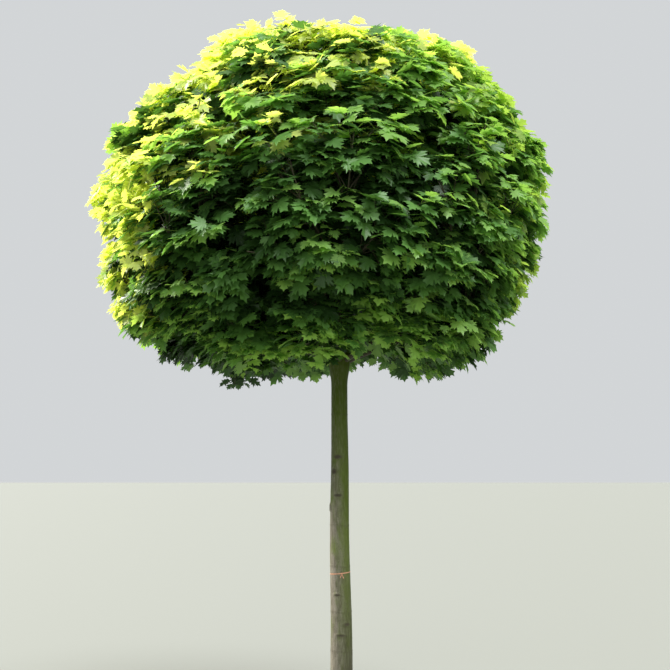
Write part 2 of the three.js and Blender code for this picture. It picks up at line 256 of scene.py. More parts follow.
TRUNK_OLD = (0.122, 0.108, 0.081, 1)
TRUNK_WORN = (0.236, 0.214, 0.174, 1)
TRUNK_ALGAE = (0.080, 0.122, 0.004, 1)
TRUNK_SCAR = (0.045, 0.038, 0.024, 1)
# Moss high on the stem, made darker than the algae as painted shade from the crown above it.
STEM_MOSS_AND_SHADE = (0.047, 0.076, 0.001, 1)
# Painted shade: the stem's right side, away from the key light, is darker low down.
STEM_PAINTED_SHADE = (0.032, 0.029, 0.018, 1)
MOSS_AND_SHADE_HEIGHTS = (1.28, 1.98)  # from where the moss and the painted shade under the crown start all round the stem to where they are full
DAMP_HEIGHTS = (-0.1, 1.35)  # the same for the algae on the stem's shaded side
PAINTED_SHADE_HEIGHTS = (1.30, 0.55)  # and for the painted shade on the same side, which fades upwards
DAMP_SIDE = (-0.035, 0.035)  # where the algae start and where they are full, from the left to the right
PAINTED_SHADE_SIDE = (-0.040, 0.022)  # the same for the painted shade
BARK_SHEEN = 0.16
BARK_BUMP = 0.5
BARK_BUMP_DEPTH = 0.001


def bark_material(name, old, worn, mossy, scar_colour, fine, streak, stem_algae_and_shade=False):
    """Bark: streaks along the grain, worn pale patches, algae, dark scars and fine cracks."""
    material = bpy.data.materials.new(name)
    material.use_nodes = True
    nodes = material.node_tree.nodes
    links = material.node_tree.links
    shader = nodes["Principled BSDF"]
    place = nodes.new("ShaderNodeTexCoord")

    def noise(scale, detail, along, across=1):
        """Noise on the piece's own place. A small scale along the stem draws it out into streaks."""
        mapping = nodes.new("ShaderNodeMapping")
        mapping.inputs["Scale"].default_value = (across, across, along)
        texture = nodes.new("ShaderNodeTexNoise")
        texture.inputs["Scale"].default_value = scale
        texture.inputs["Detail"].default_value = detail
        links.new(place.outputs["Object"], mapping.inputs["Vector"])
        links.new(mapping.outputs["Vector"], texture.inputs["Vector"])
        return texture.outputs["Fac"]

    def ramp(value, low, high):
        """0 under the low value, 1 over the high one."""
        limits = nodes.new("ShaderNodeMapRange")
        limits.inputs["From Min"].default_value = low
        limits.inputs["From Max"].default_value = high
        links.new(value, limits.inputs["Value"])
        return limits.outputs["Result"]

    def product(first, second):
        """Two shares multiplied."""
        times = nodes.new("ShaderNodeMath")
        times.operation = "MULTIPLY"
        links.new(first, times.inputs[0])
        links.new(second, times.inputs[1])
        return times.outputs["Value"]

    def blend(share, first, second):
        """Two colours mixed by a share. The first is a colour or the outcome of another blend."""
        mix = nodes.new("ShaderNodeMix")
        mix.data_type = "RGBA"
        links.new(share, mix.inputs["Factor"])
        if isinstance(first, tuple):
            mix.inputs["A"].default_value = first
        else:
            links.new(first, mix.inputs["A"])
        mix.inputs["B"].default_value = second
        return mix.outputs["Result"]

    streaks = noise(fine, detail=6, along=streak)
    patches = noise(fine * 0.12, detail=3, along=0.35)
    algae = noise(fine * 0.2, detail=4, along=0.3)
    cracks = noise(fine * 0.7, detail=4, along=3.2, across=0.5)
    grain = noise(fine * 2.4, detail=3, along=0.45)
    colour = blend(ramp(streaks, low=0.36, high=0.74), old, worn)
    colour = blend(ramp(patches, low=0.52, high=0.74), colour, worn)
    colour = blend(ramp(algae, low=0.50, high=0.85), colour, mossy)
    if stem_algae_and_shade:
        parted = nodes.new("ShaderNodeSeparateXYZ")
        links.new(place.outputs["Object"], parted.inputs["Vector"])
        side = parted.outputs["X"]
        height = parted.outputs["Z"]
        shaded = product(ramp(side, *DAMP_SIDE), ramp(algae, low=-0.10, high=0.45))
        colour = blend(product(shaded, ramp(height, *DAMP_HEIGHTS)), colour, mossy)
        # Painted shade on the stem's right side, darkest near the ground.
        painted_shade = product(ramp(side, *PAINTED_SHADE_SIDE), ramp(height, *PAINTED_SHADE_HEIGHTS))
        colour = blend(product(painted_shade, ramp(streaks, low=1.60, high=0.20)), colour, STEM_PAINTED_SHADE)
        # Moss all round the upper stem, darkened as painted shade under the crown.
        moss_and_shade = product(ramp(height, *MOSS_AND_SHADE_HEIGHTS), ramp(streaks, low=1.20, high=0.45))
        colour = blend(moss_and_shade, colour, STEM_MOSS_AND_SHADE)
    colour = blend(ramp(grain, low=0.52, high=0.86), colour, scar_colour)
    colour = blend(ramp(cracks, low=0.66, high=0.72), colour, scar_colour)
    scar = nodes.new("ShaderNodeAttribute")
    scar.attribute_name = "scar"
    colour = blend(scar.outputs["Fac"], colour, scar_colour)
    links.new(colour, shader.inputs["Base Color"])
    links.new(ramp(streaks, low=1.3, high=-0.3), shader.inputs["Roughness"])
    shader.inputs["Specular IOR Level"].default_value = BARK_SHEEN
    bump = nodes.new("ShaderNodeBump")
    bump.inputs["Strength"].default_value = BARK_BUMP
    bump.inputs["Distance"].default_value = BARK_BUMP_DEPTH
    links.new(streaks, bump.inputs["Height"])
    links.new(bump.outputs["Normal"], shader.inputs["Normal"])
    return material


grey_bark = bark_material(
    "grey_bark", TRUNK_OLD, TRUNK_WORN, TRUNK_ALGAE, TRUNK_SCAR, fine=130, streak=0.17, stem_algae_and_shade=True
)
trunk.data.materials.append(grey_bark)
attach(trunk, "root")
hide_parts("trunk")


# Ribbon: a strip of faded orange nursery tape tied once round the stem at the height where its girth is
# measured. It is pressed to the bark by its own tightness, and knotted in front with two short tails.
RIBBON_HEIGHT = 1.078
RIBBON_WIDTH = 0.006
RIBBON_THICKNESS = 0.0008
RIBBON_TILT = 0.09
RIBBON_SIDES = 72
RIBBON_FIRST_RADIUS = 0.066  # before it is pressed to the bark
RIBBON_OFF_BARK = 0.0005
RIBBON_SMOOTH = 40
STEM_FRONT = -0.06  # roughly where the bark's front is, to find the knot's place on the band
KNOT_PLACE = (0.008, 0.0030)  # to the right of the stem's middle, and out from its bark
KNOT_SIZE = (0.0055, 0.0036, 0.0046)
KNOT_FACETS = (20, 12)  # round it and from pole to pole
KNOT_FOLD = 0.0005
KNOT_FOLDS = (4, 5)  # folds to the sides, and up and down
TAILS = ((0.5, 0.026, 0.010), (-0.35, 0.023, 0.006))  # lean, length and how far the end curls outwards
TAIL_CUTS = (2, 10)
TAIL_WIDTH = (0.8, 0.25)  # at the knot, as a share of the ribbon's width, and what it loses to the end
TAIL_TWIST = (0.0012, 6)  # how far the tail's edges turn, and how fast
TAPE_ORANGE = (0.44, 0.170, 0.085, 1)
TAPE_FADED = (0.47, 0.285, 0.185, 1)
TAPE_GLOSS = 0.5
FADED_SPOTS = (160, 4)  # scale and detail of the faded spots
TAPE_WEAVE = (500, 1.5)  # scale and unevenness of the tape's weave
WEAVE_DEPTH = 0.0002

ribbon_x = TRUNK_LEAN * RIBBON_HEIGHT + sum(
    far * math.sin(often * RIBBON_HEIGHT + start) for far, often, start in SWAY
)
bpy.ops.object.select_all(action="DESELECT")
bpy.ops.mesh.primitive_cylinder_add(
    vertices=RIBBON_SIDES,
    radius=RIBBON_FIRST_RADIUS,
    depth=RIBBON_WIDTH,
    end_fill_type="NOTHING",
    location=(ribbon_x, 0, RIBBON_HEIGHT),
)
ribbon = bpy.context.object
ribbon.name = "ribbon_tape"
bpy.ops.object.mode_set(mode="EDIT")
bpy.ops.mesh.select_all(action="SELECT")
bpy.ops.transform.rotate(value=RIBBON_TILT, orient_axis="Y", center_override=(ribbon_x, 0, RIBBON_HEIGHT))
bpy.ops.mesh.subdivide(number_cuts=1)
bpy.ops.object.mode_set(mode="OBJECT")
bpy.ops.object.transform_apply(location=True, rotation=True, scale=True)
wrap = ribbon.modifiers.new("pressed_to_bark", "SHRINKWRAP")
wrap.target = trunk
wrap.wrap_method = "NEAREST_SURFACEPOINT"
wrap.wrap_mode = "ABOVE_SURFACE"
wrap.offset = RIBBON_OFF_BARK
bpy.ops.object.modifier_apply(modifier=wrap.name)
band_points = mesh_points(ribbon)
from_knot = np.hypot(band_points[:, 0] - ribbon_x - KNOT_PLACE[0], band_points[:, 1] - STEM_FRONT)
front_point = band_points[np.argmin(from_knot)]
knot_at = Vector((front_point[0], front_point[1] - KNOT_PLACE[1], front_point[2]))
tails = []
for lean, length, curl in TAILS:
    bpy.ops.object.select_all(action="DESELECT")
    bpy.ops.mesh.primitive_grid_add(x_subdivisions=TAIL_CUTS[0], y_subdivisions=TAIL_CUTS[1], size=1)
    tail = bpy.context.object
    strip = mesh_points(tail)
    down = (0.5 - strip[:, 1]) * length
    share = down / length
    across = strip[:, 0] * RIBBON_WIDTH * (TAIL_WIDTH[0] - TAIL_WIDTH[1] * share)
    twist = TAIL_TWIST[0] * np.sin(share * TAIL_TWIST[1]) * np.sign(strip[:, 0])
    placed = np.column_stack((
        knot_at.x + math.sin(lean) * down + across * math.cos(lean),
        knot_at.y - curl * share**2 - twist,
        knot_at.z - math.cos(lean) * down + across * math.sin(lean),
    ))
    tail.data.vertices.foreach_set("co", placed.ravel())
    tails.append(tail)
bpy.ops.object.select_all(action="DESELECT")
for tail in tails:
    tail.select_set(True)
ribbon.select_set(True)
bpy.context.view_layer.objects.active = ribbon
bpy.ops.object.join()
tape_wall = ribbon.modifiers.new("tape_wall", "SOLIDIFY")
tape_wall.thickness = RIBBON_THICKNESS
tape_wall.offset = 0
bpy.ops.object.modifier_apply(modifier=tape_wall.name)
bpy.ops.object.select_all(action="DESELECT")
bpy.ops.mesh.primitive_uv_sphere_add(
    segments=KNOT_FACETS[0], ring_count=KNOT_FACETS[1], radius=1, location=knot_at
)
knot = bpy.context.object
knot.scale = KNOT_SIZE
bpy.ops.object.transform_apply(location=True, rotation=True, scale=True)
folds = mesh_points(knot)
around = np.arctan2(folds[:, 2] - knot_at.z, folds[:, 0] - knot_at.x)
folds[:, 0] += KNOT_FOLD * np.sin(around * KNOT_FOLDS[0])
folds[:, 2] += KNOT_FOLD * np.cos(around * KNOT_FOLDS[1])
knot.data.vertices.foreach_set("co", folds.ravel())
ribbon.select_set(True)
bpy.context.view_layer.objects.active = ribbon
bpy.ops.object.join()
bpy.ops.object.mode_set(mode="EDIT")
bpy.ops.mesh.select_all(action="SELECT")
bpy.ops.mesh.normals_make_consistent(inside=False)
bpy.ops.object.mode_set(mode="OBJECT")
bpy.ops.object.shade_smooth_by_angle(angle=math.radians(RIBBON_SMOOTH))

tape = bpy.data.materials.new("orange_tape")
tape.use_nodes = True
nodes = tape.node_tree.nodes
links = tape.node_tree.links
shader = nodes["Principled BSDF"]
place = nodes.new("ShaderNodeTexCoord")
fading = nodes.new("ShaderNodeTexNoise")
fading.inputs["Scale"].default_value = FADED_SPOTS[0]
fading.inputs["Detail"].default_value = FADED_SPOTS[1]
weave = nodes.new("ShaderNodeTexWave")
weave.bands_direction = "Z"
weave.inputs["Scale"].default_value = TAPE_WEAVE[0]
weave.inputs["Distortion"].default_value = TAPE_WEAVE[1]
mix = nodes.new("ShaderNodeMix")
mix.data_type = "RGBA"
mix.inputs["A"].default_value = TAPE_ORANGE
mix.inputs["B"].default_value = TAPE_FADED
bump = nodes.new("ShaderNodeBump")
bump.inputs["Distance"].default_value = WEAVE_DEPTH
links.new(place.outputs["Object"], fading.inputs["Vector"])
links.new(place.outputs["Object"], weave.inputs["Vector"])
links.new(fading.outputs["Fac"], mix.inputs["Factor"])
links.new(mix.outputs["Result"], shader.inputs["Base Color"])
links.new(weave.outputs["Fac"], bump.inputs["Height"])
links.new(bump.outputs["Normal"], shader.inputs["Normal"])
shader.inputs["Roughness"].default_value = TAPE_GLOSS
ribbon.data.materials.clear()
ribbon.data.materials.append(tape)
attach(ribbon, "root")
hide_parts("ribbon")


# Boughs: fourteen limbs that spread from the graft, each one tapering from inside the trunk's head to the
# foot of the mass that it carries. They are young wood, smoother and browner than the trunk.
HEAD = np.array((TRUNK_LEAN * 2.3, 0.0, 2.3))  # the middle of the graft, from which the boughs spread
CROWN_CENTRE = np.array((-0.126, 0.0, 3.14))
CROWN_HALF_WIDTH = 1.32
CROWN_ABOVE = 1.265  # from the crown's centre to its top
CROWN_BELOW = 1.045  # and to its underside
ROUND_ABOVE = 1.75  # 2 is an ellipse, and more is squarer
ROUND_BELOW = 2.3
CROWN_DIP = 0.08  # how far the crown falls to the right for each unit of width
BILLOW = 0.02  # how deep the seams between masses are, softer than on the solids, as leaves hang over them
BILLOW_WIDTH = 0.09
HALVINGS = 22
FURTHEST = 3.0  # no way from inside the crown to its outline is longer
SLOPE_STEP = 0.005
# The rings of masses: name, how many, elevation, first turn, inner share of the reach, and pull.
RINGS = (
    ("top", 1, 90, 0, 0.6, 1),
    ("upper", 5, 56, 54, 0.58, 1),
    ("lower", 8, 18, 0, 0.4, 1.05),
)
BOUGH_FOOT = {"top": 0.024, "upper": 0.021, "lower": 0.019}
BOUGH_START = {"top": 2.42, "upper": 2.328, "lower": 2.275}
BOUGH_TIP = 0.0125
BOUGH_LIFT = 0.16  # how much steeper a bough starts than it ends
BOUGH_BEND = (0.35, 0.3)  # how far its curve follows its start and its end, as shares of its length
BOUGH_ENDS = 0.1  # the curve's outer handles, which lie past both ends
BOUGH_FINENESS = (4, 40)  # round it and along it
BOUGH_SMOOTH = 60
UP = np.array((0.0, 0.0, 1.0))


def unit(ways):
    """The same directions with a length of one."""
    return ways / np.linalg.norm(ways, axis=-1, keepdims=True)


masses = []
for ring, count, elevation, first, inner, pull in RINGS:
    for i in range(count):
        turn = math.radians(first + 360 * i / count)
        axis = UP
        if ring != "top":
            axis = unit(np.array((math.cos(turn), math.sin(turn), math.tan(math.radians(elevation)))))
        name = f"{ring}_{i + 1}" if count > 1 else ring
        masses.append((name, ring, inner, axis, axis * pull))
mass_names, mass_rings, inner_shares, axes, pulls = zip(*masses)
axes = np.array(axes)
pulls = np.array(pulls)


def outline_share(places):
    """Under 1 inside the crown's outline, and over 1 outside it."""
    away = places - CROWN_CENTRE
    rise = away[:, 2] - CROWN_DIP * away[:, 0]
    across = np.hypot(away[:, 0], away[:, 1]) / CROWN_HALF_WIDTH
    along = np.abs(rise) / np.where(rise > 0, CROWN_ABOVE, CROWN_BELOW)
    roundness = np.where(rise > 0, ROUND_ABOVE, ROUND_BELOW)
    share = (across**roundness + along**roundness) ** (1 / roundness)
    pulled = np.sort(unit(places - HEAD) @ pulls.T, axis=1)
    apart = np.minimum(1, (pulled[:, -1] - pulled[:, -2]) / BILLOW_WIDTH)
    return share / (1 - BILLOW * (1 - apart) ** 2)


def on_outline(start, ways):
    """Where straight ways from a start meet the crown's outline."""
    low = np.zeros(len(ways))
    high = np.full(len(ways), FURTHEST)
    for _ in range(HALVINGS):
        middle = (low + high) / 2
        inside = outline_share(start + ways * middle[:, None]) < 1
        low = np.where(inside, middle, low)
        high = np.where(inside, high, middle)
    return start + ways * low[:, None]


def outward_at(places):
    """The crown's outward direction at places near its outline."""
    slopes = []
    for side in np.eye(3) * SLOPE_STEP:
        slopes.append(outline_share(places + side) - outline_share(places - side))
    return unit(np.stack(slopes, axis=1))


outer_ends = on_outline(HEAD, axes)
reaches = np.linalg.norm(outer_ends - HEAD, axis=1)
inner_reaches = reaches * np.array(inner_shares)
mass_feet = HEAD + axes * inner_reaches[:, None]
mass_middles = HEAD + axes * ((reaches + inner_reaches) / 2)[:, None]

TWIG_OLD = (0.040, 0.036, 0.020, 1)
TWIG_WORN = (0.078, 0.070, 0.041, 1)
TWIG_GREEN = (0.042, 0.055, 0.017, 1)
TWIG_SCAR = (0.020, 0.017, 0.010, 1)
young_bark = bark_material("young_bark", TWIG_OLD, TWIG_WORN, TWIG_GREEN, TWIG_SCAR, fine=190, streak=0.25)

for name, ring, axis, foot in zip(mass_names, mass_rings, axes, mass_feet):
    start = np.array((TRUNK_LEAN * BOUGH_START[ring], 0, BOUGH_START[ring]))
    reach = np.linalg.norm(foot - start)
    lead = unit(axis + UP * BOUGH_LIFT)
    bpy.ops.object.select_all(action="DESELECT")
    bpy.ops.curve.primitive_bezier_curve_add()
    bough = bpy.context.object
    bough.name = f"bough_{name}_bark"
    bough.data.bevel_depth = 1
    bough.data.bevel_resolution, bough.data.resolution_u = BOUGH_FINENESS
    bough.data.use_fill_caps = True
    near, far = bough.data.splines[0].bezier_points
    near.co = start
    near.handle_right = start + lead * reach * BOUGH_BEND[0]
    near.handle_left = start - lead * reach * BOUGH_ENDS
    far.co = foot
    far.handle_left = foot - axis * reach * BOUGH_BEND[1]
    far.handle_right = foot + axis * reach * BOUGH_ENDS
    near.radius = BOUGH_FOOT[ring]
    far.radius = BOUGH_TIP
    bpy.ops.object.convert(target="MESH")
    bough = bpy.context.object
    rough_bark(bough, across=0.012, along=0.05, depth=0.0016, seed=3)
    bough.select_set(True)
    bpy.ops.object.shade_smooth_by_angle(angle=math.radians(BOUGH_SMOOTH))
    bough.data.materials.clear()
    bough.data.materials.append(young_bark)
    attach(bough, "root")
    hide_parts(f"bough_{name}")


# Twigs: each bough runs on as the stem of its mass. Long twigs branch from the stem to places spread evenly
# over the crown's outline, and short leafy shoots branch from the twigs, so that all of it grows from the
# trunk's head. They are the same young wood as the boughs, each mass's twigs in one piece.
STEM_RADIUS = 0.0125
STEM_TAPER = 0.8  # its end's radius as a share of its foot's
STEM_STEPS = 6
STEM_SIDES = 8
TWIG_COUNT = 122
TWIG_RADIUS = 0.0062
TWIG_STEPS = 9
TWIG_SIDES = 5
TWIG_DEPTH = 0.045  # how far inside the crown's outline the twigs end
TWIG_DEPTH_SHARES = (0.8, 0.5)  # the least of it, and what chance adds
TWIG_LEAD = (0.22, 0.38)  # how far a twig first follows its stem, and how far it heads for its end
SHOOT_COUNT = 2750
SHOOT_RADIUS = 0.0028
SHOOT_TAPER = 0.55  # the same for a shoot
SHOOT_STEPS = 5
SHOOT_SIDES = 3
SHOOT_FIRST_STEP = 4  # the first step of a twig that bears outer shoots
SHOOT_DEPTH = 0.055  # how far inside the outline the shoots end
SHOOT_CHANCE = 0.05  # what chance adds to it
SHOOT_LEAD = (0.25, 0.35)  # how far a shoot first follows its twig, and how far it heads for its end
SHOOT_RISE = 0.05  # how far it rises at first, as a share of its length
SHOOT_SWAY = 0.022
INNER_COUNT = 760  # shoots further in, which close the view through the crown
INNER_STEP = 2
INNER_DEPTH = 0.28
INNER_LEAST = 0.5
SHOOT_LIMIT = 0.985  # a bare shoot end stays inside this share of the crown's outline
PROUD = 0.07  # how far the strongest shoots of the crown's top and skirt stand out
PROUD_SHARES = (0.4, 0.6)  # the share of it on the crown's sides, and what the top and skirt add
TIER_HEIGHT = 0.215  # from one drooping tier of leaves to the next
TIER_DRIFT = 1.7  # how far the tiers wander up and down, in tiers
TIER_DRIFT_SIZE = 0.55
TIER_DEPTH = 0.27  # how much deeper the shoots end under the lip of a tier
TIER_CURVE = 1.3
TIER_FADE = (0.65, 0.2)  # how much shallower all of it is where the crown faces up or down, and on its top
CROWN_TOP = (0.75, 0.95)  # the outward way's upward part where the top starts and where it is full
HOLLOW_SIZE = 0.26
HOLLOW_FLATNESS = 0.45  # height of a hollow between the sprays for each unit of its width
HOLLOW_FROM = (0.50, 0.62)  # the noise's values where a hollow starts and where it is full
HOLLOW_DEPTH = 0.15
HOLLOW_FADE = 0.4  # how much shallower the hollows are on the top
# Uneven places of the crown: middle, half size, how much deeper its shoots end, and how much paler it is by
# painted light or shade.
UNEVEN = (
    ((0.06, -1.00, 2.42), (0.48, 0.55, 0.14), 0.20, -2.4),
    ((-0.22, -1.12, 2.56), (0.70, 0.40, 0.08), -0.05, 2.3),
    ((-0.08, -1.27, 2.80), (0.28, 0.35, 0.12), 0.05, -2.6),
    ((-0.66, -1.12, 2.74), (0.20, 0.40, 0.16), -0.04, 1.4),
    ((-0.05, -1.27, 3.43), (0.50, 0.35, 0.10), 0.00, 1.3),
    ((-0.95, -0.60, 3.80), (0.35, 0.50, 0.30), 0.00, 0.8),
    ((0.28, -0.75, 2.25), (0.54, 0.48, 0.14), -0.03, 4.2),
    ((0.68, -0.25, 2.20), (0.40, 0.75, 0.24), -0.20, 0.5),
    ((-0.95, 0.00, 2.25), (0.50, 0.85, 0.24), 0.10, 0.0),
    ((-0.35, 0.10, 2.08), (0.50, 0.80, 0.20), 0.09, 0.0),
    ((0.00, 0.00, 2.12), (0.40, 0.55, 0.24), 0.16, 0.0),
    ((0.20, 0.40, 2.14), (0.30, 0.80, 0.22), 0.24, 0.0),
    ((1.18, -0.05, 3.45), (0.32, 0.90, 0.45), -0.09, 0.8),
    ((0.80, -0.20, 4.12), (0.25, 0.60, 0.20), 0.04, -1.0),
    ((-0.40, -1.00, 3.80), (0.28, 0.34, 0.11), 0.04, -2.7),
    ((-0.44, -0.70, 4.03), (0.18, 0.36, 0.16), 0.00, -3.4),
    ((-0.14, -0.55, 4.08), (0.14, 0.30, 0.12), 0.00, 1.8),
    ((-0.20, -1.18, 3.56), (0.20, 0.30, 0.07), 0.00, 1.3),
    ((0.33, -1.12, 3.60), (0.22, 0.30, 0.08), 0.03, -1.2),
    ((0.06, -1.28, 3.33), (0.16, 0.30, 0.06), 0.00, -3.4),
    ((-1.25, -0.20, 2.75), (0.35, 0.80, 0.38), 0.00, 2.3),
    ((-1.28, -0.10, 3.57), (0.30, 0.80, 0.31), -0.17, 0.0),
    ((-0.98, -0.25, 4.05), (0.34, 0.60, 0.22), 0.15, 0.0),
    ((-0.05, -0.30, 4.38), (0.40, 0.85, 0.27), 0.34, 0.0),
    ((-0.56, -0.30, 4.28), (0.16, 0.50, 0.14), -0.22, 0.0),
    ((0.70, -0.30, 4.12), (0.14, 0.50, 0.14), -0.12, 0.0),
)
BARE_RADIUS = 0.24  # no shoots end this close to the trunk under the crown
BARE_HEIGHT = 2.62  # the height that the bare ring round the trunk reaches
OTHER_MASS = 10  # keeps a shoot from leaving another mass's twig
UPRIGHT = 0.9  # the upward part of a run that counts as upright
GOLDEN_TURN = math.pi * (3 - math.sqrt(5))  # from one place to the next, which spreads them evenly
rng = np.random.default_rng(6)


def evenly_spread(count):
    """Places spread evenly over the crown's outline, without those close to the trunk under it."""
    number = np.arange(count)
    level = 1 - (2 * number + 1) / count
    turn = GOLDEN_TURN * number
    flat = np.sqrt(1 - level**2)
    places = on_outline(CROWN_CENTRE, np.stack((np.cos(turn) * flat, np.sin(turn) * flat, level), axis=1))
    bare = (places[:, 2] < BARE_HEIGHT) & (np.hypot(places[:, 0], places[:, 1]) < BARE_RADIUS)
    return places[~bare]


def soft_noise(places, size):
    """Smooth noise from 0 to 1 over places, with blobs of a given size."""
    return np.array([0.5 + 0.5 * smooth_noise.noise(Vector(place)) for place in places / size])


def smooth_step(value, low, high):
    """0 under the low value, 1 over the high one, with a smooth rise between."""
    share = np.clip((value - low) / (high - low), 0, 1)
    return share * share * (3 - 2 * share)


def curved_runs(starts, leads, ends, steps):
    """Smooth runs from starts, first along leads, to ends. One row of points for each run."""
    t = np.linspace(0, 1, steps)[None, :, None]
    middle = starts + leads
    return starts[:, None] * (1 - t) ** 2 + middle[:, None] * 2 * t * (1 - t) + ends[:, None] * t**2


def tubes(runs, first_radius, last_radius, sides):
    """Tapering tubes along runs of points, closed at their ends by a point, as vertices and triangles."""
    count, steps, _ = runs.shape
    along = unit(np.gradient(runs, axis=1))
    overall = unit(runs[:, -1] - runs[:, 0])
    aside = np.where(np.abs(overall[:, 2:]) < UPRIGHT, UP, np.array((1.0, 0, 0)))
    across = unit(np.cross(along, aside[:, None]))
    other = np.cross(along, across)
    angle = np.arange(sides) * 2 * math.pi / sides
    ring = across[:, :, None] * np.cos(angle)[:, None] + other[:, :, None] * np.sin(angle)[:, None]
    radii = np.linspace(first_radius, last_radius, steps)
    vertices = runs[:, :, None] + ring * radii[:, None, None]
    tips = runs[:, -1] + along[:, -1] * last_radius
    each = steps * sides + 1
    vertices = np.concatenate((vertices.reshape(count, -1, 3), tips[:, None]), axis=1)
    i = np.arange(sides)
    j = (i + 1) % sides
    last = (steps - 1) * sides
    walls = [np.stack((k + i, k + sides + i, k + sides + j), 1) for k in range(0, last, sides)]
    walls += [np.stack((k + i, k + sides + j, k + j), 1) for k in range(0, last, sides)]
    walls.append(np.stack((last + i, np.full(sides, each - 1), last + j), 1))
    one = np.concatenate(walls)
    triangles = one[None] + (np.arange(count) * each)[:, None, None]
    return vertices.reshape(-1, 3), triangles.reshape(-1, 3)


def joined_piece(name, parts, materials, picks=None):
    """One piece from several sets of vertices and triangles."""
    starts = np.cumsum([0] + [len(vertices) for vertices, _ in parts[:-1]])
    vertices = np.concatenate([vertices for vertices, _ in parts])
    triangles = np.concatenate([triangles + start for (_, triangles), start in zip(parts, starts)])
    mesh = bpy.data.meshes.new(name)
    mesh.vertices.add(len(vertices))
    mesh.vertices.foreach_set("co", vertices.ravel())
    mesh.loops.add(triangles.size)
    mesh.loops.foreach_set("vertex_index", triangles.ravel())
    mesh.polygons.add(len(triangles))
    mesh.polygons.foreach_set("loop_start", np.arange(0, triangles.size, 3))
    mesh.polygons.foreach_set("use_smooth", np.ones(len(triangles), dtype=bool))
    for material in materials:
        mesh.materials.append(material)
    if picks is not None:
        mesh.polygons.foreach_set("material_index", picks)
    mesh.update(calc_edges=True)
    mesh.validate()
    piece = bpy.data.objects.new(name, mesh)
    scene.collection.objects.link(piece)
    return piece


def nearest_mass(places):
    """The mass whose space holds each place."""
    return np.argmax((places - HEAD) @ pulls.T, axis=1)


def uneven_at(places):
    """How much deeper, how much prouder and how much paler by painted light and shade the crown is at places,
    by its uneven spots.
    """
    deeper, proud, painted_light = np.zeros((3, len(places)))
    for middle, half_size, depth, painted_lift in UNEVEN:
        near = np.exp(-np.sum(((places - middle) / half_size) ** 2, axis=1))
        deeper += depth * near
        proud += max(-depth, 0) * near
        painted_light += painted_lift * near
    return deeper, proud, painted_light


twig_places = evenly_spread(TWIG_COUNT)
twig_masses = nearest_mass(twig_places)
twig_out = outward_at(twig_places)
twig_depth = TWIG_DEPTH * (TWIG_DEPTH_SHARES[0] + TWIG_DEPTH_SHARES[1] * rng.random(len(twig_places)))
twig_depth += np.maximum(uneven_at(twig_places)[0], 0)
twig_ends = twig_places - twig_out * twig_depth[:, None]
twig_starts = mass_middles[twig_masses]
twig_length = np.linalg.norm(twig_ends - twig_starts, axis=1)[:, None]
twig_leads = axes[twig_masses] * twig_length * TWIG_LEAD[0] + (twig_ends - twig_starts) * TWIG_LEAD[1]
twig_runs = curved_runs(twig_starts, twig_leads, twig_ends, TWIG_STEPS)

outer_places = evenly_spread(SHOOT_COUNT)
shoot_places = np.concatenate((outer_places, evenly_spread(INNER_COUNT)))
shoot_total = len(shoot_places)
is_inner = np.arange(shoot_total) >= len(outer_places)
shoot_masses = nearest_mass(shoot_places)
shoot_out = outward_at(shoot_places)
out_x = shoot_out[:, 0]
out_up = shoot_out[:, 2]
drift = TIER_DRIFT * soft_noise(shoot_places, TIER_DRIFT_SIZE)
tier = (shoot_places[:, 2] / TIER_HEIGHT + drift) % 1  # 0 at the lip of a tier, 1 close under the next lip
on_sides = 1 - TIER_FADE[0] * np.abs(out_up) - TIER_FADE[1] * smooth_step(out_up, *CROWN_TOP)
shoot_depth = SHOOT_DEPTH + TIER_DEPTH * tier**TIER_CURVE + SHOOT_CHANCE * rng.random(shoot_total)
shoot_depth *= on_sides
hollow = smooth_step(soft_noise(shoot_places / (1, 1, HOLLOW_FLATNESS), HOLLOW_SIZE), *HOLLOW_FROM)
shoot_depth += HOLLOW_DEPTH * hollow * (1 - HOLLOW_FADE * out_up)
deeper, proud, painted_light = uneven_at(shoot_places)
shoot_depth += deeper
shoot_depth += np.where(is_inner, INNER_DEPTH * (INNER_LEAST + rng.random(shoot_total)), 0)
proud_share = PROUD_SHARES[0] + PROUD_SHARES[1] * np.abs(out_up)
shoot_depth -= PROUD * proud_share * rng.random(shoot_total) * ~is_inner
shoot_ends = shoot_places - shoot_out * shoot_depth[:, None]
shoot_ends += rng.normal(0, SHOOT_SWAY, shoot_ends.shape)
too_far = np.maximum(outline_share(shoot_ends) - SHOOT_LIMIT, 0) * CROWN_HALF_WIDTH
shoot_ends -= shoot_out * too_far[:, None]

# Each shoot leaves the twig of its own mass that ends nearest to it.
apart = np.linalg.norm(shoot_places[:, None] - twig_places[None], axis=2)
apart += np.where(shoot_masses[:, None] == twig_masses[None], 0, OTHER_MASS)
shoot_twig = np.argmin(apart, axis=1)
shoot_step = rng.integers(SHOOT_FIRST_STEP, TWIG_STEPS - 1, shoot_total)
shoot_step = np.where(is_inner, INNER_STEP, shoot_step)
shoot_starts = twig_runs[shoot_twig, shoot_step]
run_on = unit(twig_runs[shoot_twig, shoot_step + 1] - shoot_starts)
shoot_length = np.linalg.norm(shoot_ends - shoot_starts, axis=1)[:, None]
shoot_leads = run_on * shoot_length * SHOOT_LEAD[0] + (shoot_ends - shoot_starts) * SHOOT_LEAD[1]
shoot_leads += UP * shoot_length * SHOOT_RISE
shoot_runs = curved_runs(shoot_starts, shoot_leads, shoot_ends, SHOOT_STEPS)

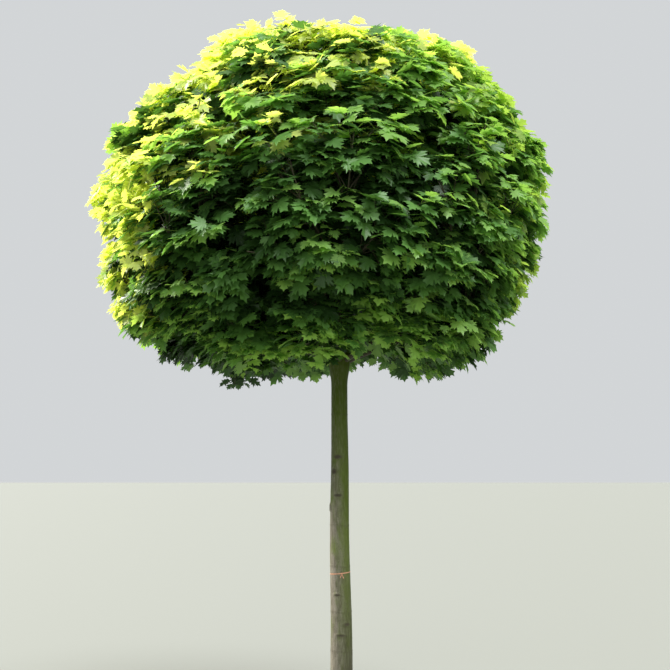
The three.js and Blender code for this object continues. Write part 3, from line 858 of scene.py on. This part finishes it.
for number, name in enumerate(mass_names):
    foot = mass_feet[number]
    stem_run = foot + (mass_middles[number] - foot) * np.linspace(0, 1, STEM_STEPS)[:, None]
    own_twigs = twig_runs[twig_masses == number]
    own_shoots = shoot_runs[shoot_masses == number]
    parts = [
        tubes(stem_run[None], STEM_RADIUS, STEM_RADIUS * STEM_TAPER, STEM_SIDES),
        tubes(own_twigs, TWIG_RADIUS, SHOOT_RADIUS, TWIG_SIDES),
        tubes(own_shoots, SHOOT_RADIUS, SHOOT_RADIUS * SHOOT_TAPER, SHOOT_SIDES),
    ]
    twigs = joined_piece(f"twigs_{name}", parts, [young_bark])
    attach(twigs, "root")
    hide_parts(f"foliage_{name}")


# Leaves: five-lobed blades with pointed teeth, in opposite pairs on the last part of each shoot, with the
# youngest pair smallest and palest. They hang outwards and down on thin stalks, one over another like
# shingles. Their colours are painted light: sunlit sprays are gold, the others mid green to the deepest
# painted shade.
HALF_BLADE = (
    (0.10, -0.07), (0.27, -0.05), (0.49, -0.01), (0.34, 0.12), (0.58, 0.24), (0.46, 0.32), (0.71, 0.54),
    (0.42, 0.47), (0.43, 0.63), (0.20, 0.43), (0.25, 0.60), (0.31, 0.78), (0.12, 0.80),
)
BLADE_HEART = (0.0, 0.12)  # where the main veins meet
BLADE_SHAPES = 14
BLADE_JITTER = 0.014  # how unevenly the teeth fall
BLADE_RIPPLE = 0.012  # how unevenly its edge rises and falls
BLADE_FOLD = (0.05, 0.32)  # the least and the most fold along the middle
BLADE_HANG = (0.10, 0.42)  # the same for how far the lobes hang
BLADE_CURL = (-0.12, 0.20)  # the same for how far one side is turned up
BLADE_CORNERS = ((1, 0), (0.6, 0.56), (0.6, -0.56), (0, 0))  # a blade's tip, its lobes' tips and its root
NODE_BACK = (0.0, 0.035, 0.080, 0.135)  # from a shoot's end back to each pair
STALK_RADIUS = 0.0011
STALK_SIDES = 3
STALK_LENGTHS = (0.022, 0.046, 0.068, 0.085)
STALK_SIZES = (0.8, 1.2)
STALK_WAY = (0.35, 0.3)  # how far a stalk turns to the blade's face and to the shoot's end
PROUD_STALK = 0.35  # how much longer the stalks are where the crown stands proud, as a share of how far
BLADE_LENGTHS = (0.055, 0.077, 0.090, 0.094)
BLADE_SIZES = (0.82, 1.14)
INNER_BLADE = 1.4  # blades further in are larger by this
GOLD_SMALLER = 0.14  # how much smaller gold blades are, as a share
PAIR_TURNS = (0.45, 1.10, 0.55, 1.30)  # how far each blade of a pair turns to its own side
PAIR_SWAY = 0.22
FACE_LIFT = (1.15, 0.55)  # on the crown's top and skirt, and what its sides add
FACE_SIDES = (0.15, 0.55)  # the outward way's upright part where the sides end, and where they are left
FACE_SWAY = (0.26, 0.16)  # how much the blades' faces differ, and what gold sprays add to it
FACE_LOWEST = -0.25  # no blade faces further down
HANG_DOWN = 0.75  # how far down the blades hang for each unit outwards
HANG_SWAY = 0.22
# From the deepest painted shade to the painted sunlight, gold, of leaves with the sun behind them.
TINTS = (
    (0.015, 0.042, 0.009), (0.026, 0.068, 0.014), (0.040, 0.104, 0.021), (0.066, 0.160, 0.034),
    (0.110, 0.252, 0.058), (0.220, 0.410, 0.095), (0.310, 0.480, 0.100), (0.530, 0.625, 0.170),
)
LEAF_GLOSS = 0.44
LEAF_SHEEN = (0.24, 0.05)  # in the deepest leaves, and what each paler tint adds
LIGHT_THROUGH = (0.28, 0.62)  # in the deepest and in the palest leaves
THROUGH_GAIN = (1.6, 1.5, 0.9)  # what the light gains and loses in each colour on its way through
# How much of the crown is painted gold sunlight, on the sides where the sun falls. A pair that names a side
# of the crown holds the outward way's part towards it where the effect starts and where it is full.
GOLD_TOP = (0.08, 0.66)
GOLD_LEFT = (0.56, 0.88)
GOLD_RIGHT = (0.60, 0.95)
GOLD_RIGHT_SHARE = 0.35
LESS_GOLD = (0.05, 0.45)  # towards the right, where gold sprays are fewer
LESS_GOLD_SHARE = 0.30
GOLD_BY_TIER = (1.45, 0.95)  # at a tier's lip, and what is lost up to the next one
GOLD_LOST_IN_HOLLOW = 0.9
GOLD_BY_PAINTED_LIGHT = 0.35  # what an uneven spot adds for each tint that it is paler
GOLD_MOST = 0.96
# Which tint a spray has, from 0 up: the middle one, and what is added to it, most of it painted light and
# shade.
TINT_MIDDLE = 2.4
TINT_BY_HEIGHT = 0.35
CROWN_FOOT = 2.1  # the height of the crown's lowest leaves
CROWN_HEIGHT = 2.25
TINT_BY_TIER = 3.4
TIER_MIDDLE = 0.42  # where in a tier its leaves have the middle tint
TINT_RIGHT = 1.5
TINT_RIGHT_FROM = (0.1, 0.8)
TINT_TOP = 2.0
TINT_TOP_FROM = (0.15, 0.50)
TINT_LOST_IN_HOLLOW = 1.8
TINT_LOST_INSIDE = 1.4
TINT_CHANCE = (0.8, 0.9)  # how much sprays differ, and what the underside adds
TINT_UNDER_FROM = (0.0, 0.5)
TINT_GOLD = (3.4, 5.8)  # the least and the most that gold adds
TINT_GOLD_LEFT = 1.3
TINT_LEFT_FROM = (0.2, 0.7)
TINT_YOUNG = (1.6, 0.5, 0.0, 0.0)  # for each pair: young leaves are paler, and on the outermost pair this is also painted light
TINT_LEAF_CHANCE = 0.35
GREENEST = 5  # the palest tint of a leaf that isn't gold
GOLD_IN_SHADE = 6  # the palest tint of a gold leaf on the crown's right, away from the sun
SHADE_FROM = 0.5  # the outward way's part to the right where that side starts
# How far leaves may stand out of the crown's outline.
LEAF_LIMIT = 0.995
LEAF_PROUD = 0.055
LEAF_PROUD_CURVE = 1.5
LEAF_PROUD_MOST = 0.6
LEAF_PROUD_TOP = 0.8  # what the crown's top and skirt add, as a share
BOX_ROOM = 0.03  # how far leaves may stand out of the solids' box, as a share of its sides
DENT_FOLLOW = 0.7  # how far the leaves follow the shoots into a dent of the crown's upper half
DRAW_BACKS = 3

# One leaf material for each tint: lit and shaded copies of one leaf green, which carry its painted light and
# shade.
leaf_materials = []
for number, tint in enumerate(TINTS):
    material = bpy.data.materials.new(f"leaf_tint_and_painted_light_{number + 1}")
    material.use_nodes = True
    nodes = material.node_tree.nodes
    links = material.node_tree.links
    shader = nodes["Principled BSDF"]
    shader.inputs["Base Color"].default_value = (*tint, 1)
    shader.inputs["Roughness"].default_value = LEAF_GLOSS
    shader.inputs["Specular IOR Level"].default_value = LEAF_SHEEN[0] + LEAF_SHEEN[1] * number
    through = nodes.new("ShaderNodeBsdfTranslucent")
    glow = [min(part * gain, 1) for part, gain in zip(tint, THROUGH_GAIN)]
    through.inputs["Color"].default_value = (*glow, 1)
    share = number / (len(TINTS) - 1)
    mix = nodes.new("ShaderNodeMixShader")
    mix.inputs["Fac"].default_value = LIGHT_THROUGH[0] + (LIGHT_THROUGH[1] - LIGHT_THROUGH[0]) * share
    links.new(shader.outputs["BSDF"], mix.inputs[1])
    links.new(through.outputs["BSDF"], mix.inputs[2])
    links.new(mix.outputs["Shader"], nodes["Material Output"].inputs["Surface"])
    leaf_materials.append(material)

# Blades differ in how they fold along the middle, how far their lobes hang and how their teeth fall.
right_half = np.array(HALF_BLADE)
left_half = right_half[::-1] * (-1, 1)
flat_blade = np.concatenate((((0, 0),), right_half, ((0, 1),), left_half, (BLADE_HEART,)))
edge = len(flat_blade) - 1
blade_triangles = np.array([(edge, i, (i + 1) % edge) for i in range(edge)])
blade_shapes = []
for _ in range(BLADE_SHAPES):
    jitter = rng.normal(0, BLADE_JITTER, flat_blade.shape)
    jitter[[0, edge]] = 0
    outline = flat_blade + jitter
    fold = rng.uniform(*BLADE_FOLD)
    hang = rng.uniform(*BLADE_HANG)
    curl = rng.uniform(*BLADE_CURL)
    far = np.hypot(outline[:, 0], outline[:, 1] - BLADE_HEART[1])
    lift = fold * np.abs(outline[:, 0]) - hang * far**2 - curl * outline[:, 0] * outline[:, 1]
    lift += rng.normal(0, BLADE_RIPPLE, len(outline))
    blade_shapes.append(np.column_stack((outline, lift)))
blade_shapes = np.array(blade_shapes)

# Each spray's share of painted gold sunlight, its tint with painted light and shade, and how its blades face.
flat_out = shoot_out.copy()
flat_out[:, 2] = np.maximum(out_up, FACE_LOWEST)
# Painted sunlight: sprays on the top and the left, where the sun falls, are painted gold, most at a tier's
# lip.
sunlit_gold_share = smooth_step(out_up, *GOLD_TOP) + smooth_step(-out_x, *GOLD_LEFT)
sunlit_gold_share += GOLD_RIGHT_SHARE * smooth_step(out_x, *GOLD_RIGHT)
sunlit_gold_share *= 1 - LESS_GOLD_SHARE * smooth_step(out_x, *LESS_GOLD)
by_tier = GOLD_BY_TIER[0] - GOLD_BY_TIER[1] * tier
sunlit_gold_share *= by_tier * (1 - GOLD_LOST_IN_HOLLOW * hollow) * np.clip(1 + GOLD_BY_PAINTED_LIGHT * painted_light, 0, 1)
sunlit_gold = rng.random(shoot_total) < np.clip(sunlit_gold_share, 0, GOLD_MOST)
# Painted light and shade: a spray is paler higher up, on the right, on the top and at a tier's lip, and
# darker under the lips, in hollows and further in.
brightness = TINT_MIDDLE + TINT_BY_HEIGHT * (shoot_places[:, 2] - CROWN_FOOT) / CROWN_HEIGHT
brightness += TINT_BY_TIER * (TIER_MIDDLE - tier)
brightness += TINT_RIGHT * smooth_step(out_x, *TINT_RIGHT_FROM)
brightness += TINT_TOP * smooth_step(out_up, *TINT_TOP_FROM)
brightness -= TINT_LOST_IN_HOLLOW * hollow
chance = TINT_CHANCE[0] + TINT_CHANCE[1] * smooth_step(-out_up, *TINT_UNDER_FROM)
brightness += rng.normal(0, 1, shoot_total) * chance
sunlit_gold_tint = rng.uniform(*TINT_GOLD, shoot_total) + TINT_GOLD_LEFT * smooth_step(-out_x, *TINT_LEFT_FROM)
brightness += np.where(sunlit_gold, sunlit_gold_tint, 0)
brightness += painted_light - TINT_LOST_INSIDE * is_inner
palest = np.where(sunlit_gold, np.where(out_x > SHADE_FROM, GOLD_IN_SHADE, len(TINTS) - 1), GREENEST)
face_sway = FACE_SWAY[0] + FACE_SWAY[1] * sunlit_gold
face_lift = FACE_LIFT[0] + FACE_LIFT[1] * (1 - smooth_step(np.abs(out_up), *FACE_SIDES))
usual_face = unit(flat_out + UP * face_lift[:, None])
blade_size = np.where(is_inner, INNER_BLADE, 1 - GOLD_SMALLER * sunlit_gold)
usual_hang = np.column_stack((shoot_out[:, :2], np.full(shoot_total, -HANG_DOWN)))
shoot_tips = shoot_runs[:, -1]
along = unit(shoot_tips - shoot_runs[:, -3])

leaf_sets = []
pairs = zip(NODE_BACK, STALK_LENGTHS, BLADE_LENGTHS, PAIR_TURNS, TINT_YOUNG)
for back, stalk, blade, pair_turn, young in pairs:
    nodes_at = shoot_tips - along * back
    for side in (-1, 1):
        face = unit(usual_face + rng.normal(0, 1, (shoot_total, 3)) * face_sway[:, None])
        hang = usual_hang + rng.normal(0, HANG_SWAY, (shoot_total, 3))
        hang = unit(hang - face * np.sum(hang * face, axis=1, keepdims=True))
        turned = side * (pair_turn + rng.normal(0, PAIR_SWAY, shoot_total))[:, None]
        heading = hang * np.cos(turned) + np.cross(hang, face) * np.sin(turned)
        size = blade * rng.uniform(*BLADE_SIZES, shoot_total) * blade_size
        way = unit(heading + face * STALK_WAY[0] + along * STALK_WAY[1])
        reach = stalk * rng.uniform(*STALK_SIZES, shoot_total) + PROUD_STALK * proud
        tint = brightness + young + rng.normal(0, TINT_LEAF_CHANCE, shoot_total)
        tint = np.clip(np.round(tint), 0, palest).astype(int)
        leaf_sets.append((nodes_at + way * reach[:, None], nodes_at, heading, face, size, shoot_masses, tint))
roots, stalk_starts, headings, faces, lengths, leaf_masses, leaf_tints = map(np.concatenate, zip(*leaf_sets))
asides = np.cross(headings, faces)

# A leaf that would reach past the crown's outline, or too far out of the solids' box, is drawn back. Chance
# lets some stand out a little, most on the top and the skirt.
leaf_limits = np.minimum(rng.random(shoot_total) ** LEAF_PROUD_CURVE, LEAF_PROUD_MOST) * LEAF_PROUD
leaf_limits *= 1 + LEAF_PROUD_TOP * np.abs(out_up)
leaf_room = proud - DENT_FOLLOW * np.maximum(deeper, 0) * (out_up > 0)
leaf_limits = np.tile(LEAF_LIMIT + leaf_limits + leaf_room / CROWN_HALF_WIDTH, len(leaf_sets))
box_room = (np.array(cad_box[1]) - np.array(cad_box[0])) * BOX_ROOM
box_low = np.array(cad_box[0]) - box_room
box_high = np.array(cad_box[1]) + box_room
for _ in range(DRAW_BACKS):
    reach = np.zeros(len(roots))
    for along_share, aside_share in BLADE_CORNERS:
        corner = roots + (headings * along_share + asides * aside_share) * lengths[:, None]
        past_box = np.max(np.maximum(corner - box_high, box_low - corner), axis=1) / CROWN_HALF_WIDTH
        reach = np.maximum(reach, np.maximum(outline_share(corner) - leaf_limits, past_box))
    roots = roots - outward_at(roots) * (reach * CROWN_HALF_WIDTH)[:, None]

shape_picks = rng.integers(0, BLADE_SHAPES, len(roots))
local = blade_shapes[shape_picks] * lengths[:, None, None]
blades = roots[:, None] + local[:, :, :1] * asides[:, None] + local[:, :, 1:2] * headings[:, None]
blades = blades + local[:, :, 2:] * faces[:, None]
stalk_runs = np.stack((stalk_starts, roots), axis=1)
for number, name in enumerate(mass_names):
    own = leaf_masses == number
    own_blades = blades[own]
    points_each = own_blades.shape[1]
    triangles = blade_triangles[None] + (np.arange(len(own_blades)) * points_each)[:, None, None]
    stalk_mesh = tubes(stalk_runs[own], STALK_RADIUS, STALK_RADIUS, STALK_SIDES)
    parts = [(own_blades.reshape(-1, 3), triangles.reshape(-1, 3)), stalk_mesh]
    blade_picks = np.repeat(leaf_tints[own], len(blade_triangles))
    stalk_tints = np.minimum(leaf_tints[own] + 1, len(TINTS) - 1)
    stalk_picks = np.repeat(stalk_tints, len(stalk_mesh[1]) // len(own_blades))
    leaves = joined_piece(f"leaves_{name}", parts, leaf_materials, np.concatenate((blade_picks, stalk_picks)))
    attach(leaves, "root")
    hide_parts(f"foliage_{name}")
